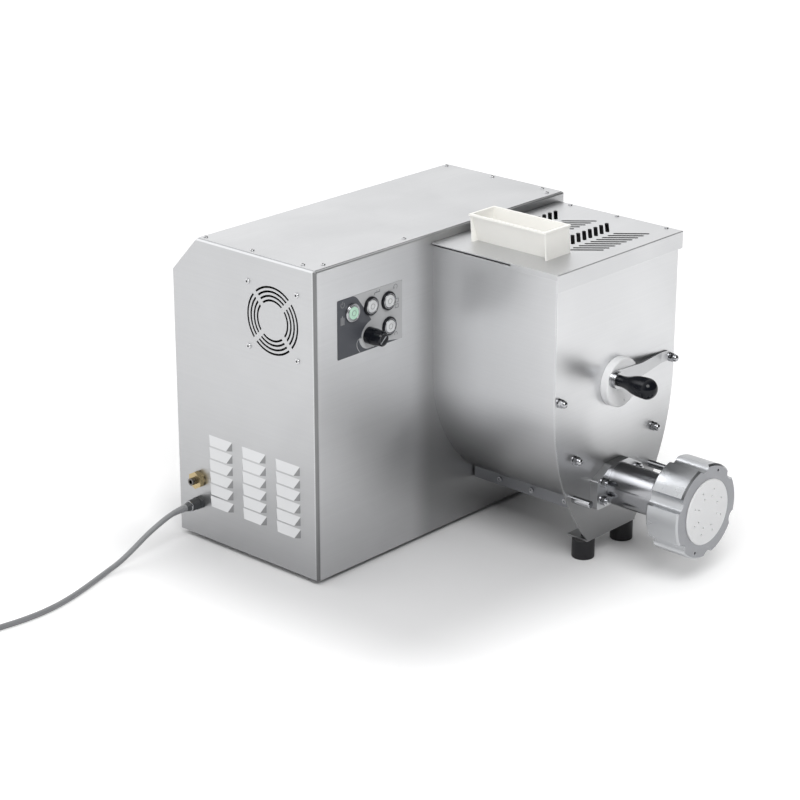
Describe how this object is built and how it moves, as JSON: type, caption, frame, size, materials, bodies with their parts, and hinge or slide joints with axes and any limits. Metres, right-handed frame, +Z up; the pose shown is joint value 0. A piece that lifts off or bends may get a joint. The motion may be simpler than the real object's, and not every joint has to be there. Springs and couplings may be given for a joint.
{
  "type": "electric pasta extruder",
  "caption": "Bench-top electric pasta extruder: steel drive housing, mixing trough with vented lid and funnel, auger barrel with ring nut and round die, power cord.",
  "frame": {"origin": "on the bench, under the middle of the machine without its loose cord", "axes": "+X along the control face towards the lid's hinge, +Y from the die to the back of the housing, +Z up"},
  "size_m": [1.1453, 0.7997, 0.546],
  "materials": {
    "housing_steel": "satin",
    "trough_steel": "satin",
    "lid_steel": "satin",
    "polished_steel": "polished",
    "bright_fastener": "polished",
    "machined_steel": "machined",
    "ring_aluminium": "brushed",
    "cast_aluminium": "cast",
    "brass": "satin",
    "gland_plastic": "matte",
    "black_plastic": "gloss",
    "matte_black": "matte",
    "white_plastic": "satin",
    "warm_white_plastic": "satin",
    "clear_white_cap": "gloss",
    "green_cap": "gloss",
    "label_film": "matte",
    "rubber": "matte",
    "cord_grey": "matte",
    "motor_paint": "painted",
    "winding_steel": "laminated"
  },
  "bodies": {
    "root": {"acorn_nuts": "bright_fastener", "auger_bed": "trough_steel", "back_panel": "housing_steel", "barrel": "polished_steel", "barrel_nuts": "bright_fastener", "base_pads": "rubber", "base_tray": "housing_steel", "bearings": "machined_steel", "bed_screws": "bright_fastener", "button_bezels": "black_plastic", "cable_gland": "gland_plastic", "case_bolts": "bright_fastener", "contact_blocks": "matte_black", "control_label": "label_film", "cord_coil": "cord_grey", "cutter_studs": "bright_fastener", "fan_frame": "matte_black", "fan_screws": "bright_fastener", "front_panel": "housing_steel", "front_plate": "trough_steel", "gearbox_front": "cast_aluminium", "gearbox_rear": "cast_aluminium", "inverter_box": "matte_black", "left_panel": "housing_steel", "mixing_trough": "trough_steel", "motor_housing": "motor_paint", "plug": "cord_grey", "potentiometer": "matte_black", "power_cord": "cord_grey", "right_panel": "housing_steel", "rubber_feet": "rubber", "shaft_seals": "rubber", "start_bezel": "bright_fastener", "stator": "winding_steel", "top_plate": "housing_steel", "top_screws": "bright_fastener", "wall_leaf": "trough_steel", "water_inlet": "brass"},
    "mixer": {"mixing_shaft": "polished_steel", "mixer_gear": "machined_steel"},
    "auger": {"auger": "polished_steel", "auger_gear": "machined_steel"},
    "pinion": {"output_pinion": "machined_steel", "reducer_wheel": "machined_steel"},
    "rotor": {"rotor": "machined_steel"},
    "fan": {"fan_impeller": "matte_black"},
    "lid": {"lid": "lid_steel", "lid_leaf": "trough_steel", "lid_rivets": "bright_fastener", "funnel": "warm_white_plastic"},
    "start_button": {"start_button": "green_cap"},
    "mix_button": {"mix_button": "clear_white_cap"},
    "extrude_button": {"extrude_button": "clear_white_cap"},
    "stop_button": {"stop_button": "clear_white_cap"},
    "knob": {"speed_knob": "black_plastic"},
    "mixer_cap": {"bearing_disc": "white_plastic", "latch_lever": "trough_steel", "latch_handle": "black_plastic"},
    "die_unit": {"die": "white_plastic"},
    "ring": {"ring_nut": "ring_aluminium"}
  },
  "joints": [
    {"name": "mixer_spin", "type": "hinge", "parent": "root", "child": "mixer", "pos_m": [0.1375, 0.06175, 0.29], "axis": [0, 1, 0], "continuous": true},
    {"name": "auger_spin", "type": "hinge", "parent": "root", "child": "auger", "pos_m": [0.1375, 0.06175, 0.119], "axis": [0, 1, 0], "continuous": true},
    {"name": "pinion_spin", "type": "hinge", "parent": "root", "child": "pinion", "pos_m": [0.0095, 0.09675, 0.224], "axis": [0, 1, 0], "continuous": true},
    {"name": "rotor_spin", "type": "hinge", "parent": "root", "child": "rotor", "pos_m": [-0.0445, 0.23675, 0.224], "axis": [0, 1, 0], "continuous": true},
    {"name": "fan_spin", "type": "hinge", "parent": "root", "child": "fan", "pos_m": [-0.2665, 0.15275, 0.416], "axis": [1, 0, 0], "continuous": true},
    {"name": "lid_hinge", "type": "hinge", "parent": "root", "child": "lid", "pos_m": [0.294, -0.06325, 0.494], "axis": [0, 1, 0], "range_deg": [0, 100]},
    {"name": "start_button_press", "type": "slide", "parent": "root", "child": "start_button", "axis": [0, 1, 0], "range_m": [0, 0.0025], "stiffness_N_per_m": 800},
    {"name": "mix_button_press", "type": "slide", "parent": "root", "child": "mix_button", "axis": [0, 1, 0], "range_m": [0, 0.0025], "stiffness_N_per_m": 800},
    {"name": "extrude_button_press", "type": "slide", "parent": "root", "child": "extrude_button", "axis": [0, 1, 0], "range_m": [0, 0.0025], "stiffness_N_per_m": 800},
    {"name": "stop_button_press", "type": "slide", "parent": "root", "child": "stop_button", "axis": [0, 1, 0], "range_m": [0, 0.0025], "stiffness_N_per_m": 800},
    {"name": "knob_turn", "type": "hinge", "parent": "root", "child": "knob", "pos_m": [-0.164, 0.04675, 0.385], "axis": [0, 1, 0], "range_deg": [-135, 135]},
    {"name": "cap_turn", "type": "hinge", "parent": "root", "child": "mixer_cap", "pos_m": [0.1375, -0.19825, 0.29], "axis": [0, -1, 0], "range_deg": [0, 90]},
    {"name": "die_slide", "type": "slide", "parent": "root", "child": "die_unit", "axis": [0, -1, 0], "range_m": [0, 0.0201]},
    {"name": "ring_turn", "type": "hinge", "parent": "die_unit", "child": "ring", "pos_m": [0.1375, -0.34125, 0.119], "axis": [0, -1, 0], "range_deg": [0, 1440]}
  ],
  "couplings": [
    {"joint": "auger_spin", "follows": "mixer_spin", "ratio": -2},
    {"joint": "pinion_spin", "follows": "mixer_spin", "ratio": -3.8},
    {"joint": "rotor_spin", "follows": "mixer_spin", "ratio": 19},
    {"joint": "die_slide", "follows": "ring_turn", "m_per_rad": 0.00079577}
  ]
}
